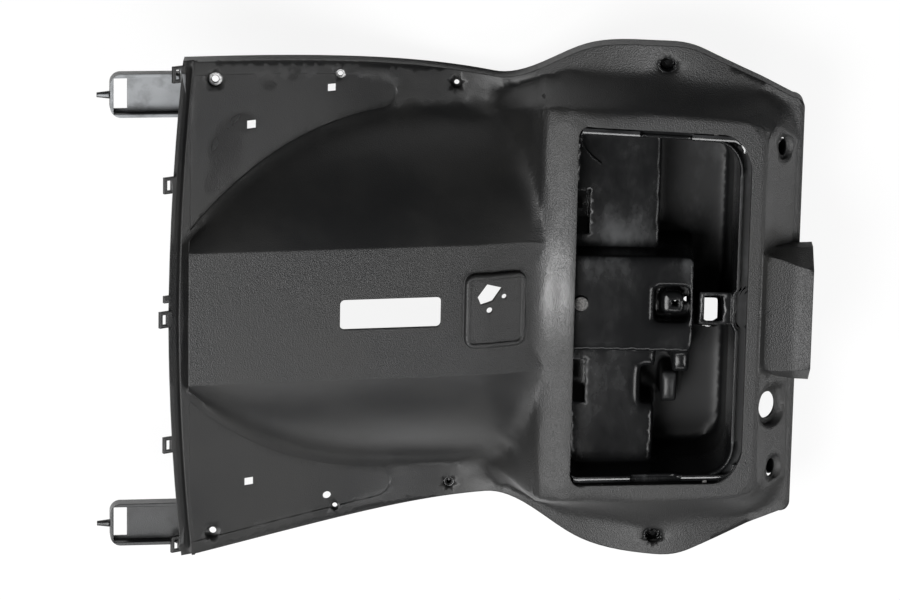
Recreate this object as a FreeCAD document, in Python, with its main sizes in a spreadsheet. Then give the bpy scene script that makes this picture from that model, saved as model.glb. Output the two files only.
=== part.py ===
import FreeCAD, Part
import math
import os

from FreeCAD import Placement, Rotation, Vector

doc = FreeCAD.newDocument("scooter_inner_panel")

# Frame: X runs from the floor end to the upper end, Y across, Z out of the face the rider sees.
# Heights count from the plane the panel lies on, in millimetres.

SIZES = {
    # Distance from the middle of the overall length to the point where x counts from
    "frame_shift": 4.5,
    # Moulded walls
    "wall": 2.8,
    "skirt_depth": 23,
    "recess_depth": 0.9,
    # Swept base surface: height of its middle line and the fall of its crown
    "foot_x": -226,
    "foot_height": 155,
    "calf_x": -104,
    "calf_height": 75,
    "waist_x": 34,
    "waist_height": 33.6,
    "ear_x": 176,
    "ear_height": 79,
    "head_x": 297,
    "head_height": 64,
    "foot_crown": 19,
    "head_crown": 2,
    # Outline seen from the front, half widths
    "foot_bow": 10,
    "foot_half": 216,
    "calf_half": 204,
    "waist_half": 186,
    "flare_x": 74,
    "flare_half": 196,
    "shoulder_x": 116,
    "shoulder_half": 218,
    "ear_half": 225,
    "ear_back_x": 212,
    "ear_back_half": 219,
    "head_half": 183,
    "head_corner": 9,
    # Hump with its flat facet
    "hump_start_x": -219,
    "hump_end_x": 100,
    "facet_half": 57,
    "facet_foot_height": 157.5,
    "facet_head_height": 92.5,
    "hump_half": 154,
    "hump_foot_half": 66,
    "hump_sink": 1.2,
    "hump_fullness": 2.8,
    "hump_bulge": 0.09,
    # Bezel round the glove box
    "bezel_height": 95,
    "bezel_foot_x": 32,
    "bezel_left_x": 77,
    "bezel_right_x": 263,
    "bezel_left_half": 165,
    "bezel_right_half": 157,
    "bezel_side_half": 191,
    "bezel_round": 7,
    "head_slope": 47,
    # Opening and its returned lip
    "open_left_x": 106,
    "open_right_x": 249,
    "open_left_half": 155,
    "open_right_half": 146,
    "open_left_round": 7,
    "open_right_round": 24,
    "lip_depth": 9,
    # Raised tab at the upper end
    "tab_start_x": 256,
    "tab_end_x": 307,
    "tab_half": 50,
    "tab_height": 105,
    # Raised pad on the facet
    "pad_x": 38,
    "pad_length": 53,
    "pad_width": 65,
    "pad_height": 6,
    "pad_floor_length": 44,
    "pad_floor_width": 56,
    # Slot in the facet
    "slot_x": -50,
    "slot_length": 87,
    "slot_width": 26,
    # Floor end: flange, loops and arms
    "flange_width": 9,
    "flange_drop": 5,
    "loop_reach": 8,
    "loop_width": 14,
    "loop_bar": 2.6,
    "arm_y": 187,
    "arm_length": 63,
    "arm_width": 37,
    "arm_depth": 13,
    "arm_rise": 8,
    "peg_length": 12,
    "peg_root": 7,
    "peg_tip": 4,
    # Glove box tub
    "tub_wall": 2.4,
    "tub_gap": 6,
    "tub_left": 5,
    "tub_draft": 5,
    "tub_flange": 10,
    "tub_rim": 5,
    "shelf_height": 55,
    "shelf_end_x": 178,
    "tunnel_height": 77,
    "tunnel_end_x": 208,
    "tunnel_half": 42,
    "pocket_x": 175,
    "pocket_half": 16,
    "pocket_floor": 56,
    "tower_x": 213,
    "tower_half": 14,
    "tower_height": 85,
    # Fasteners
    "screw_shank": 4,
    "screw_head": 8,
    "screw_head_depth": 2.4,
    "screw_length": 8,
    "boss_diameter": 8,
    "screw_clearance": 0.2,
    "column_x": 112,
    "column_head": 12,
    "column_head_depth": 3,
    "column_shank": 6,
    "column_length": 16,
}

sheet = doc.addObject("Spreadsheet::Sheet", "dims")
for row, (alias, value) in enumerate(SIZES.items(), start=1):
    sheet.set("A%d" % row, alias)
    sheet.set("B%d" % row, str(value))
    sheet.setAlias("B%d" % row, alias)
doc.recompute()


def size(alias):
    return float(sheet.get(alias))


WALL = size("wall")
BEZEL = size("bezel_height")
HIGH = 260
SIDES = (("upper", 1), ("lower", -1))
UPRIGHT = Rotation()


def bind(obj, prop, value):
    if isinstance(value, str):
        obj.setExpression(prop, value)
    else:
        setattr(obj, prop, value)


def feature(name, shape):
    obj = doc.addObject("Part::Feature", name)
    obj.Shape = shape
    return obj


def box(name, sizes, corner, rotation=UPRIGHT):
    obj = doc.addObject("Part::Box", name)
    for side, value in zip(("Length", "Width", "Height"), sizes):
        bind(obj, side, value)
    obj.Placement = Placement(Vector(*corner), rotation)
    return obj


def cylinder(name, radius, height, foot, rotation=UPRIGHT):
    obj = doc.addObject("Part::Cylinder", name)
    bind(obj, "Radius", radius)
    bind(obj, "Height", height)
    obj.Placement = Placement(Vector(*foot), rotation)
    return obj


def fuse(name, shapes):
    obj = doc.addObject("Part::MultiFuse", name)
    obj.Shapes = shapes
    return obj


def common(name, shapes):
    obj = doc.addObject("Part::MultiCommon", name)
    obj.Shapes = shapes
    return obj


def cut(name, base_shape, tool):
    obj = doc.addObject("Part::Cut", name)
    obj.Base = base_shape
    obj.Tool = tool
    return obj


def smooth(points, x):
    """Value at x on a smooth line through (x, value) points."""
    last = len(points) - 1
    slopes = []
    for i in range(len(points)):
        before = points[max(i - 1, 0)]
        after = points[min(i + 1, last)]
        slopes.append((after[1] - before[1]) / (after[0] - before[0]))
    i = 0
    while i < last - 1 and x > points[i + 1][0]:
        i += 1
    (x0, v0), (x1, v1) = points[i], points[i + 1]
    span = x1 - x0
    u = (x - x0) / span
    if u < 0:
        return v0 + slopes[i] * (x - x0)
    if u > 1:
        return v1 + slopes[i + 1] * (x - x1)
    rise0 = slopes[i] * span
    rise1 = slopes[i + 1] * span
    return (
        v0 * (2 * u ** 3 - 3 * u ** 2 + 1)
        + rise0 * (u ** 3 - 2 * u ** 2 + u)
        + v1 * (3 * u ** 2 - 2 * u ** 3)
        + rise1 * (u ** 3 - u ** 2)
    )


def mirrored(points):
    return [Vector(p.x, -p.y, p.z) for p in points]


def spline(points):
    curve = Part.BSplineCurve()
    curve.interpolate(points)
    return curve.toShape()


def prism(edges, low, high):
    face = Part.Face(Part.Wire(edges))
    face.translate(Vector(0, 0, low))
    return face.extrude(Vector(0, 0, high - low))


# Base surface: a smooth middle line that falls evenly to both sides

STATIONS = ("foot", "calf", "waist", "ear", "head")
BASE_LINE = [(size(name + "_x"), size(name + "_height")) for name in STATIONS]
BASE_LINE.insert(0, (size("foot_x") - 40, size("foot_height") + 27))
BASE_LINE.append((size("head_x") + 30, size("head_height") - 8))
BASE_HALF = size("foot_half") + 45


def crown(x):
    share = (size("head_x") - x) / (size("head_x") - size("foot_x"))
    return size("head_crown") + (size("foot_crown") - size("head_crown")) * share


def base_curve(y, rise):
    """Line of the base surface at a distance y from the middle, moved up by `rise`."""
    points = []
    for x, height in BASE_LINE:
        points.append(Vector(x, y, height + rise - crown(x) * abs(y) / size("foot_half")))
    curve = Part.BSplineCurve()
    curve.interpolate(Points=points, Parameters=[x for x, height in BASE_LINE])
    return curve


MIDDLE_LINE = base_curve(0, 0)


def base(x, y):
    return MIDDLE_LINE.value(x).z - crown(x) * abs(y) / size("foot_half")


def base_slope(x):
    return (base(x + 1, 0) - base(x - 1, 0)) / 2


def slab(top, depth):
    """Sheet that follows the base surface, from `top` above it down through `depth`."""
    wires = []
    for y in (-BASE_HALF, 0, BASE_HALF):
        over = base_curve(y, top)
        under = base_curve(y, top - depth)
        edges = [
            over.toShape(),
            Part.makeLine(over.EndPoint, under.EndPoint),
            under.toShape(),
            Part.makeLine(under.StartPoint, over.StartPoint),
        ]
        wires.append(Part.Wire(edges))
    return Part.makeLoft(wires, True, True)


# Outline seen from the front


def side_points(inset):
    """Half outline from the floor end to the back of the ear, moved in along its normals."""
    names = ("foot", "calf", "waist", "flare", "shoulder", "ear", "ear_back")
    line = [Vector(size(name + "_x"), size(name + "_half"), 0) for name in names]
    points = []
    for i, point in enumerate(line):
        along = line[min(i + 1, len(line) - 1)] - line[max(i - 1, 0)]
        along.normalize()
        points.append(point + Vector(along.y, -along.x, 0) * inset)
    return points


def side_edges(points):
    """Nearly straight wing edge and the curve round the ear that leaves it smoothly."""
    wing = Part.Arc(*points[:3])
    leave = wing.tangent(wing.LastParameter)[0]
    ear = Part.BSplineCurve()
    ear.interpolate(Points=points[2:], InitialTangent=leave, FinalTangent=Vector(0.9, -0.42, 0))
    return [wing.toShape(), ear.toShape()]


def foot_arc(shift):
    """Bowed edge of the floor end, moved by `shift` towards the upper end."""
    x = size("foot_x") + shift
    half = size("foot_half")
    return Part.Arc(Vector(x, -half, 0), Vector(x - size("foot_bow"), 0, 0), Vector(x, half, 0))


def outline(inset, left_out):
    """Panel outline moved in by `inset`, its floor end moved out by `left_out`."""
    upper = side_points(inset)
    head = size("head_x") - inset
    half = size("head_half") - inset * 0.9
    corner = size("head_corner")
    bend = corner * (1 - math.sqrt(0.5))
    a = Vector(head - corner, half, 0)
    b = Vector(head - bend, half - bend, 0)
    c = Vector(head, half - corner, 0)
    half_edges = side_edges(upper)
    half_edges += [Part.makeLine(upper[-1], a), Part.Arc(a, b, c).toShape()]
    half_edges.append(Part.makeLine(c, Vector(head, 0, 0)))
    foot = upper[0]
    if left_out:
        out = foot + Vector(-left_out, 0, 0)
        half_edges = [Part.makeLine(Vector(out.x, 0, 0), out), Part.makeLine(out, foot)] + half_edges
    edges = half_edges + [edge.mirror(Vector(0, 0, 0), Vector(0, 1, 0)) for edge in half_edges]
    if not left_out:
        edges.append(foot_arc(0).toShape())
    return Part.__sortEdges__(edges)


plan = feature("plan_prism", prism(outline(0, 0), -30, HIGH))
plan_inner = feature("plan_prism_inner", prism(outline(WALL, 60), -60, HIGH))
edge_ring = cut("edge_ring", plan, plan_inner)
skirt_sheet = feature("skirt_sheet", slab(-0.4, size("skirt_depth") - 0.4))
skirt = common("skirt", [skirt_sheet, edge_ring])
base_skin = common("base_skin", [feature("base_sheet", slab(0, WALL)), plan])
base_shell = fuse("base_shell", [base_skin, skirt])
under_sheet = feature("base_sheet_under", slab(-WALL, size("skirt_depth") + 40))

# Hump


def facet(x):
    share = (x - size("hump_start_x")) / (size("hump_end_x") - size("hump_start_x"))
    return size("facet_foot_height") + (size("facet_head_height") - size("facet_foot_height")) * share


def hump_foot(x):
    fall = size("hump_half") - size("hump_foot_half")
    return size("hump_half") - fall * abs(x / size("hump_start_x")) ** size("hump_fullness")


def hump(inset, below):
    start = size("hump_start_x") + inset
    end = size("hump_end_x")
    count = 9
    wires = []
    for i in range(count):
        x = start + (end - start) * i / (count - 1)
        top = facet(x) - inset
        half = size("facet_half") - inset * 0.6
        foot = hump_foot(x) - inset
        level = min(base(x, foot) - size("hump_sink"), top - 2)
        rise = Vector(0, half - foot, top - level)
        out = Vector(0, rise.z, -rise.y) * size("hump_bulge")
        edge = Vector(x, half, top)
        toe = Vector(x, foot, level)
        middle = (edge + toe) * 0.5 + out
        low = Vector(x, foot, level - below)
        edge_m, toe_m, middle_m, low_m = mirrored([edge, toe, middle, low])
        edges = [
            Part.makeLine(edge_m, edge),
            Part.Arc(edge, middle, toe).toShape(),
            Part.makeLine(toe, low),
            Part.makeLine(low, low_m),
            Part.makeLine(low_m, toe_m),
            Part.Arc(toe_m, middle_m, edge_m).toShape(),
        ]
        wires.append(Part.Wire(edges))
    return Part.makeLoft(wires, True, False)


hump_outer = feature("hump_outer", hump(0, WALL + 4))
hump_inner = feature("hump_inner", hump(WALL, 70))

# Bezel


def ruled(sections):
    """Solid through sections of (x, top half width, top height, foot half width, foot height, bottom)."""
    wires = []
    for x, top_half, top, foot_half, foot, bottom in sections:
        right = [Vector(x, top_half, top), Vector(x, foot_half, foot), Vector(x, foot_half, bottom)]
        corners = right + list(reversed(mirrored(right)))
        wires.append(Part.makePolygon(corners + corners[:1]))
    return Part.makeLoft(wires, True, True)


def ridge_edges(solid, height):
    """Edges round the flat top of the bezel, without the seam across its middle."""
    edges = []
    for edge in solid.Edges:
        first, last = edge.Vertexes[0].Point, edge.Vertexes[-1].Point
        seam = abs(first.x - last.x) < 0.01 and abs(first.x - size("ear_x")) < 0.01
        if min(first.z, last.z) > height - 0.01 and not seam:
            edges.append(edge)
    return edges


def bezel(inset, below):
    top = BEZEL - inset
    side = size("bezel_side_half") - inset * 0.9
    left = size("bezel_left_x") + inset * 0.6
    right = size("bezel_right_x") - inset * 0.4
    head_x = size("head_x") - 1 - inset * 1.2
    fall = (head_x - size("bezel_right_x")) * math.tan(math.radians(size("head_slope")))
    left_half = size("bezel_left_half") - inset * 0.6
    right_half = size("bezel_right_half") - inset * 0.6
    toe = base(size("bezel_foot_x"), 0) - 9
    toe_half = size("waist_half") - inset
    rows = [
        (size("bezel_foot_x") + inset * 1.1, toe_half - 28, toe, toe_half - 8),
        (left, left_half, top, side - 3),
        (size("ear_x"), (left_half + right_half) / 2, top, side + 2),
        (right, right_half, top, side - 8),
        (head_x, right_half - 8, BEZEL - fall - inset * 1.4, side - 16),
    ]
    sections = []
    for x, half, height, foot_half in rows:
        foot = min(base(x, foot_half) - 8, height - 4)
        sections.append((x, half, height, foot_half, foot, foot - below))
    solid = ruled(sections)
    return solid.makeFillet(size("bezel_round") - inset, ridge_edges(solid, top))


bezel_outer = feature("bezel_outer", bezel(0, 6))
bezel_inner = feature("bezel_inner", bezel(WALL, 80))

# Tab at the upper end and the pad on the facet


def tab(inset, bottom):
    start = size("tab_start_x")
    end = size("tab_end_x") - inset
    half = size("tab_half") - inset
    bend = size("bezel_right_x") + 5
    high = size("tab_height") - inset
    return ruled(
        [
            (start, half, BEZEL - 6 - inset, half + 2, BEZEL - 14, bottom),
            (bend, half, BEZEL + 2 - inset, half + 4, BEZEL - 10, bottom),
            (end, half - 2, high, half + 15, high - 22, bottom),
        ]
    )


TAB_FOOT = size("head_height") + 2
tab_outer = feature("tab_outer", tab(0, TAB_FOOT))
tab_inner = feature("tab_inner", tab(WALL, TAB_FOOT - 3))

FACET_FALL = size("facet_foot_height") - size("facet_head_height")
FACET_ANGLE = math.degrees(math.atan2(FACET_FALL, size("hump_end_x") - size("hump_start_x")))
FACET_TURN = Rotation(Vector(0, 1, 0), FACET_ANGLE)


def on_facet(shape, x):
    shape.Placement = Placement(Vector(x, 0, facet(x)), FACET_TURN)
    return shape


def block(length, width, low, high, corner, top_round):
    """Box centred on the origin in plan with rounded upright corners and a rounded top."""
    solid = Part.makeBox(length, width, high - low, Vector(-length / 2, -width / 2, low))
    upright = [e for e in solid.Edges if abs(e.Vertexes[0].Point.z - e.Vertexes[1].Point.z) > 0.1]
    solid = solid.makeFillet(corner, upright)
    if top_round:
        rim = [e for e in solid.Edges if min(v.Point.z for v in e.Vertexes) > high - 0.01]
        solid = solid.makeFillet(top_round, rim)
    return solid


PAD = size("pad_height")
pad_sides = (size("pad_length"), size("pad_width"))
pad_hollow = [side - 2 * WALL for side in pad_sides]
pad_outer = feature("pad_outer", on_facet(block(*pad_sides, -WALL, PAD, 9, 2.5), size("pad_x")))
pad_inner = feature("pad_inner", on_facet(block(*pad_hollow, -12, PAD - WALL - 1, 6, 0), size("pad_x")))

raised_forms = fuse("raised_forms", [hump_outer, bezel_outer, tab_outer, pad_outer])
raised_trim = cut("raised_trim", raised_forms, under_sheet)

# Recessed fields of the wings


def field(sign):
    start = size("foot_x") + size("flange_width") - 2
    end = -62
    reach = [start + (end - start) * i / 4 for i in range(5)]
    line = [(p.x, p.y) for p in side_points(11)[:3]]
    outer = [Vector(x, sign * smooth(line, x), 0) for x in reach]
    inner = [Vector(x, sign * (hump_foot(x) + 8), 0) for x in reversed(reach)]
    tip = (outer[-1] + inner[0]) * 0.5 + Vector(13, 0, 0)
    edges = [
        spline(outer),
        Part.Arc(outer[-1], tip, inner[0]).toShape(),
        spline(inner),
        Part.makeLine(inner[-1], outer[0]),
    ]
    return prism(edges, -30, HIGH)


recess_sheet = feature("recess_sheet", slab(12, 12 + size("recess_depth")))
fields = []
for side, sign in SIDES:
    plan_field = feature("field_plan_" + side, field(sign))
    fields.append(common("field_" + side, [recess_sheet, plan_field]))

# Lowered flange of the floor end


def foot_strip(start, width, past):
    near = foot_arc(start)
    far = foot_arc(start + width)
    edges = [near.toShape(), far.toShape()]
    for near_end, far_end, sign in (
        (near.StartPoint, far.StartPoint, -1),
        (near.EndPoint, far.EndPoint, 1),
    ):
        shift = Vector(0, sign * past, 0)
        if past:
            edges += [Part.makeLine(near_end, near_end + shift), Part.makeLine(far_end, far_end + shift)]
        edges.append(Part.makeLine(near_end + shift, far_end + shift))
    return prism(Part.__sortEdges__(edges), -30, HIGH)


DROP = size("flange_drop")
FLANGE = size("flange_width")
clear_strip = feature("clear_strip", foot_strip(-14, FLANGE + 14, 20))
lowered = common("lowered_strip", [feature("clear_sheet", slab(14, 14 + DROP)), clear_strip])
flange_strip = feature("flange_strip", foot_strip(0, FLANGE + 0.5, 0))
flange = common("foot_flange", [feature("flange_sheet", slab(-DROP, WALL)), flange_strip])
riser_strip = feature("riser_strip", foot_strip(FLANGE, WALL, 0))
riser = common("foot_riser", [feature("riser_sheet", slab(-0.4, DROP + WALL - 0.4)), riser_strip])

# Clip loops along the flange


def foot_edge(y):
    return size("foot_x") - size("foot_bow") * (1 - (y / size("foot_half")) ** 2)


FOOT_TURN = Rotation(Vector(0, 1, 0), -math.degrees(math.atan(base_slope(size("foot_x")))))
late_added = [flange, riser]
late_removed = []
BAR = size("loop_bar")
for i, y in enumerate((205, 113, 0, -113, -205), start=1):
    edge = foot_edge(y)
    at = Vector(edge, y, base(edge, y) - DROP)
    start = Vector(-size("loop_reach"), -size("loop_width") / 2, -WALL)
    frame = at + FOOT_TURN.multVec(start)
    window = at + FOOT_TURN.multVec(start + Vector(BAR, BAR, -4))
    sides = ("dims.loop_reach + 4", "dims.loop_width", "dims.wall")
    late_added.append(box("loop_%d" % i, sides, frame, FOOT_TURN))
    sides = ("dims.loop_reach - 1.4 * dims.loop_bar", "dims.loop_width - 2 * dims.loop_bar", 12)
    late_removed.append(box("loop_window_%d" % i, sides, window, FOOT_TURN))
stop_y = 17
stop_x = foot_edge(stop_y)
stop = Vector(stop_x, stop_y, base(stop_x, stop_y) - DROP) + FOOT_TURN.multVec(Vector(-4, -3, -WALL))
late_added.append(box("stop_tab", (8, 6, "dims.wall"), stop, FOOT_TURN))

# Arms with their pegs


def arm():
    """Open trough along -X from the origin with a window and a tapered peg at its end."""
    long = size("arm_length")
    wide = size("arm_width")
    deep = size("arm_depth")
    outer = Part.makeBox(long, wide, deep, Vector(-long, -wide / 2, -deep))
    ends = []
    for edge in outer.Edges:
        first, last = edge.Vertexes[0].Point, edge.Vertexes[-1].Point
        if abs(first.z - last.z) > 1 and first.x < -1:
            ends.append(edge)
    outer = outer.makeFillet(9, ends)
    corner = Vector(WALL - long, WALL - wide / 2, WALL - deep)
    trough = Part.makeBox(long - 2 * WALL, wide - 2 * WALL, deep, corner)
    corner = Vector(WALL - long, 2 * WALL - wide / 2, -2 * deep)
    window = Part.makeBox(12, wide - 4 * WALL, 3 * deep, corner)
    peg = Part.makeCone(
        size("peg_root") / 2,
        size("peg_tip") / 2,
        size("peg_length"),
        Vector(1 - long, 0, -deep / 2),
        Vector(-1, 0, 0),
    )
    return outer.cut(trough).cut(window).fuse(peg)


ARM_TURN = Rotation(Vector(0, 1, 0), size("arm_rise"))
for side, sign in SIDES:
    y = sign * size("arm_y")
    root = foot_edge(y) + 5
    piece = feature("arm_" + side, arm())
    piece.Placement = Placement(Vector(root, y, base(root, y) - DROP), ARM_TURN)
    late_added.append(piece)

base_fields = cut("base_fields", base_shell, fuse("wing_fields", fields))
base_strip = cut("base_strip", base_fields, lowered)
base_ended = fuse("base_ended", [base_strip] + late_added)
base_looped = cut("base_looped", base_ended, fuse("loop_windows", late_removed))
skin = fuse("skin_outer", [base_looped, raised_trim])
for name, inner in (
    ("skin_hump", hump_inner),
    ("skin_bezel", bezel_inner),
    ("skin_tab", tab_inner),
    ("skin_pad", pad_inner),
):
    skin = cut(name, skin, inner)

# Opening with a returned lip, and the bosses under the bezel


def rounded_wire(left, right, left_half, right_half, left_round, right_round, level):
    """Four-sided outline, wider at one end, with its corners rounded by tangent arcs."""
    corners = [
        (Vector(left, -left_half, level), left_round),
        (Vector(right, -right_half, level), right_round),
        (Vector(right, right_half, level), right_round),
        (Vector(left, left_half, level), left_round),
    ]
    arcs = []
    for i, (corner, radius) in enumerate(corners):
        back = corners[i - 1][0] - corner
        ahead = corners[(i + 1) % 4][0] - corner
        back.normalize()
        ahead.normalize()
        half_angle = back.getAngle(ahead) / 2
        reach = radius / math.tan(half_angle)
        inward = back + ahead
        inward.normalize()
        middle = corner + inward * (radius / math.sin(half_angle) - radius)
        arcs.append(Part.Arc(corner + back * reach, middle, corner + ahead * reach))
    edges = []
    for i, arc in enumerate(arcs):
        edges.append(arc.toShape())
        edges.append(Part.makeLine(arc.EndPoint, arcs[(i + 1) % 4].StartPoint))
    return Part.Wire(edges)


def opening_wire(out, level):
    return rounded_wire(
        size("open_left_x") - out,
        size("open_right_x") + out,
        size("open_left_half") + out,
        size("open_right_half") + out,
        size("open_left_round") + out,
        size("open_right_round") + out,
        level,
    )


def raised(wire, height):
    return Part.Face(wire).extrude(Vector(0, 0, height))


def open_half(x):
    share = (x - size("open_left_x")) / (size("open_right_x") - size("open_left_x"))
    return size("open_left_half") + (size("open_right_half") - size("open_left_half")) * share


LIP = BEZEL - size("lip_depth")
lip = feature("opening_lip", raised(opening_wire(WALL * 0.8, LIP), size("lip_depth") - 1))
opening = feature("opening", raised(opening_wire(0, -30), 160))

BOSS_OUT = 5.8
boss_points = []
for x in (134, 222):
    for side, sign in SIDES:
        boss_points.append((x, sign * (open_half(x) + BOSS_OUT)))
for side, sign in SIDES:
    boss_points.append((size("open_right_x") + BOSS_OUT, sign * 88))

added = [lip]
removed = [opening]
for i, (x, y) in enumerate(boss_points, start=1):
    tall = "dims.lip_depth - dims.wall + 0.6"
    bore = "dims.lip_depth - dims.wall"
    added.append(cylinder("boss_%d" % i, "dims.boss_diameter / 2", tall, (x, y, LIP)))
    radius = "(dims.screw_shank + dims.screw_clearance) / 2"
    removed.append(cylinder("boss_bore_%d" % i, radius, bore, (x, y, LIP)))

# Screw cups and plain holes along the wings and ears


def cup(name, point, turn, head, hole, depth, above):
    """Sunk seat: a cup behind the wall with a clearance hole in its floor; returns the cup's wall."""
    back = depth + WALL * 0.8
    foot = point + turn.multVec(Vector(0, 0, -back))
    seat = point + turn.multVec(Vector(0, 0, -depth))
    through = point + turn.multVec(Vector(0, 0, -back - 12))
    removed.append(cylinder(name + "_seat", head / 2, 26, seat, turn))
    removed.append(cylinder(name + "_hole", hole / 2, 30, through, turn))
    return cylinder(name + "_wall", head / 2 + 1.8, back + above, foot, turn)


cup_rows = {
    "floor_screw": (-200, 198, 13, 6, 6),
    "wing_screw": (-97, 192, 8, 4.4, 3),
    "waist_screw": (2, 179, 10, 4.4, 4),
    "ear_screw": (180, 209, 13, 6, 4.5),
}
wing_cups = []
for name, (x, y, head, hole, depth) in cup_rows.items():
    for side, sign in SIDES:
        point = Vector(x, sign * y, base(x, y))
        wing_cups.append(cup("%s_%s" % (name, side), point, UPRIGHT, head, hole, depth, head))
cup_sheet = feature("cup_sheet", slab(-size("recess_depth") - 0.3, size("skirt_depth") + 10))
added.append(common("wing_cups", [cup_sheet, fuse("cup_walls", wing_cups)]))

for side, sign in SIDES:
    level = base(-170, 157)
    removed.append(box("clip_square_" + side, (7, 7, 40), (-173.5, sign * 157 - 3.5, level - 20)))
removed.append(box("wing_square", (6.4, 6.4, 40), (-107.2, 181 - 3.2, base(-104, 181) - 20)))
removed.append(cylinder("wing_round", 3.4, 40, (-104, -181, base(-104, 181) - 20)))

# Holes in the slope of the upper end

SLOPE_TURN = Rotation(Vector(0, 1, 0), size("head_slope"))


def on_slope(x, y):
    fall = (x - size("bezel_right_x")) * math.tan(math.radians(size("head_slope")))
    return Vector(x, y, BEZEL - fall)


for side, sign in SIDES:
    added.append(cup("head_screw_" + side, on_slope(281, sign * 140), SLOPE_TURN, 19, 12, 2.5, -0.4))
added.append(cup("key_hole", on_slope(277, -86), SLOPE_TURN, 36, 24, 5, -0.4))

# Slot in the facet and the floor of the pad

slot = block(size("slot_length"), size("slot_width"), -20, 20, 4, 0)
removed.append(feature("slot", on_facet(slot, size("slot_x"))))
pad_floor = block(size("pad_floor_length"), size("pad_floor_width"), PAD - 1, PAD + 10, 3, 0)
removed.append(feature("pad_floor", on_facet(pad_floor, size("pad_x"))))
corners = [Vector(x, y, -12) for x, y in ((-8, 24), (5, 20), (-3, 9), (-13, 6), (-16, 13))]
pentagon = Part.Face(Part.makePolygon(corners + corners[:1])).extrude(Vector(0, 0, 40))
removed.append(feature("pad_window", on_facet(pentagon, size("pad_x"))))
for i, (x, y, radius) in enumerate(((7, 12, 2.2), (-5.5, 1, 2.6)), start=1):
    bore = Part.makeCylinder(radius, 40, Vector(x, y, -12))
    removed.append(feature("pad_hole_%d" % i, on_facet(bore, size("pad_x"))))

panel_bossed = fuse("panel_bossed", [skin] + added)
panel = cut("panel", panel_bossed, fuse("openings", removed))
panel.Label = "inner_panel"

# Glove box tub

TUB = size("tub_wall")
RIM = LIP + size("tub_rim")


def tub_wire(inset, level):
    draft = size("tub_draft") * (RIM - level) / RIM
    gap = size("tub_gap") + inset + draft
    return rounded_wire(
        size("open_left_x") - size("tub_left") + inset + draft,
        size("open_right_x") - gap,
        size("open_left_half") - gap,
        size("open_right_half") - gap,
        size("open_left_round") + 4 - inset,
        size("open_right_round") - inset,
        level,
    )


def tub_form(inset, bottom, top):
    return Part.makeLoft([tub_wire(inset, bottom), tub_wire(inset, top)], True, True)


SHELF = size("shelf_height")
SHELF_END = size("shelf_end_x")
LEFT = size("open_left_x") - 40
shelf_under = box("shelf_under", (SHELF_END - TUB - LEFT, 400, SHELF - TUB + 20), (LEFT, -200, -20))
shelf_solid = box("shelf_solid", (SHELF_END - LEFT, 400, SHELF + 20), (LEFT, -200, -20))
tub_block = cut("tub_block", feature("tub_outer", tub_form(0, 0, RIM)), shelf_under)
tub_space = cut("tub_space", feature("tub_inner", tub_form(TUB, TUB, RIM + 1)), shelf_solid)
tub_shell = cut("tub_shell", tub_block, tub_space)

# Tunnel over the steering column, hollow from behind

TUNNEL = size("tunnel_height")
TUNNEL_END = size("tunnel_end_x")


def tunnel(inset, bottom):
    half = size("tunnel_half") - inset
    start = size("open_left_x") - 30
    sections = []
    for x in (start, TUNNEL_END - inset):
        sections.append((x, half, TUNNEL - inset, half + 4, SHELF - 12, bottom))
    return ruled(sections)


tunnel_body = common("tunnel_body", [feature("tunnel_outer", tunnel(0, -10)), tub_block])
tunnel_hollow = feature("tunnel_hollow", tunnel(TUB, -20))

POCKET = size("pocket_x")
POCKET_HALF = size("pocket_half")
POCKET_FLOOR = size("pocket_floor")


def walled(name, x0, x1, y0, y1, low, high):
    return box(name, (x1 - x0, y1 - y0, high - low), (x0, y0, low))


pocket_wall = walled(
    "pocket_wall", POCKET - TUB, TUNNEL_END, -POCKET_HALF - TUB, POCKET_HALF + TUB, POCKET_FLOOR - TUB, TUNNEL
)
pocket_space = walled(
    "pocket_space", POCKET, TUNNEL_END - TUB, -POCKET_HALF, POCKET_HALF, POCKET_FLOOR, TUNNEL + 9
)
striker = walled("striker_block", POCKET + 6, POCKET + 25, -10, 10, POCKET_FLOOR - 1, POCKET_FLOOR + 15)
striker_bores = [
    cylinder("striker_bore", 2.6, 60, (POCKET + 18, 0, POCKET_FLOOR - 30)),
    cylinder("striker_bore_outer", 2.4, 60, (POCKET + 28, 0, POCKET_FLOOR - 30)),
]

# Latch tower against the end wall, and two stiffening blocks that are hollow from behind

TOWER = size("tower_x")
TOWER_HALF = size("tower_half")
tower = walled("tower", TOWER, size("open_right_x") - 8.8, -TOWER_HALF, TOWER_HALF, 0, size("tower_height"))
tower_well = walled("tower_well", TOWER + 4, TOWER + 20, -TOWER_HALF + 3, TOWER_HALF - 3, -20, 120)
block_rows = {"rib_block": (192, 207, -64, -40, 64), "notch_block": (184, 198, -96, -68, 46)}
blocks = []
block_hollows = []
for name, (x0, x1, y0, y1, top) in block_rows.items():
    blocks.append(walled(name, x0, x1, y0, y1, 0, top))
    hollow = (x0 + TUB, x1 - TUB, y0 + TUB, y1 - TUB, -20, top - TUB)
    block_hollows.append(walled(name + "_hollow", *hollow))

# Notch in the lower shelf

notch = (166, SHELF_END + 1, -94, -62)
notch_wall = walled("notch_wall", notch[0] - TUB, SHELF_END, notch[2] - TUB, notch[3] + TUB, 0, SHELF)
notch_space = walled("notch_space", *notch, TUB, SHELF + 9)

# Flange under the bezel, hinge windows and the gaps in the rim

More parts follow.
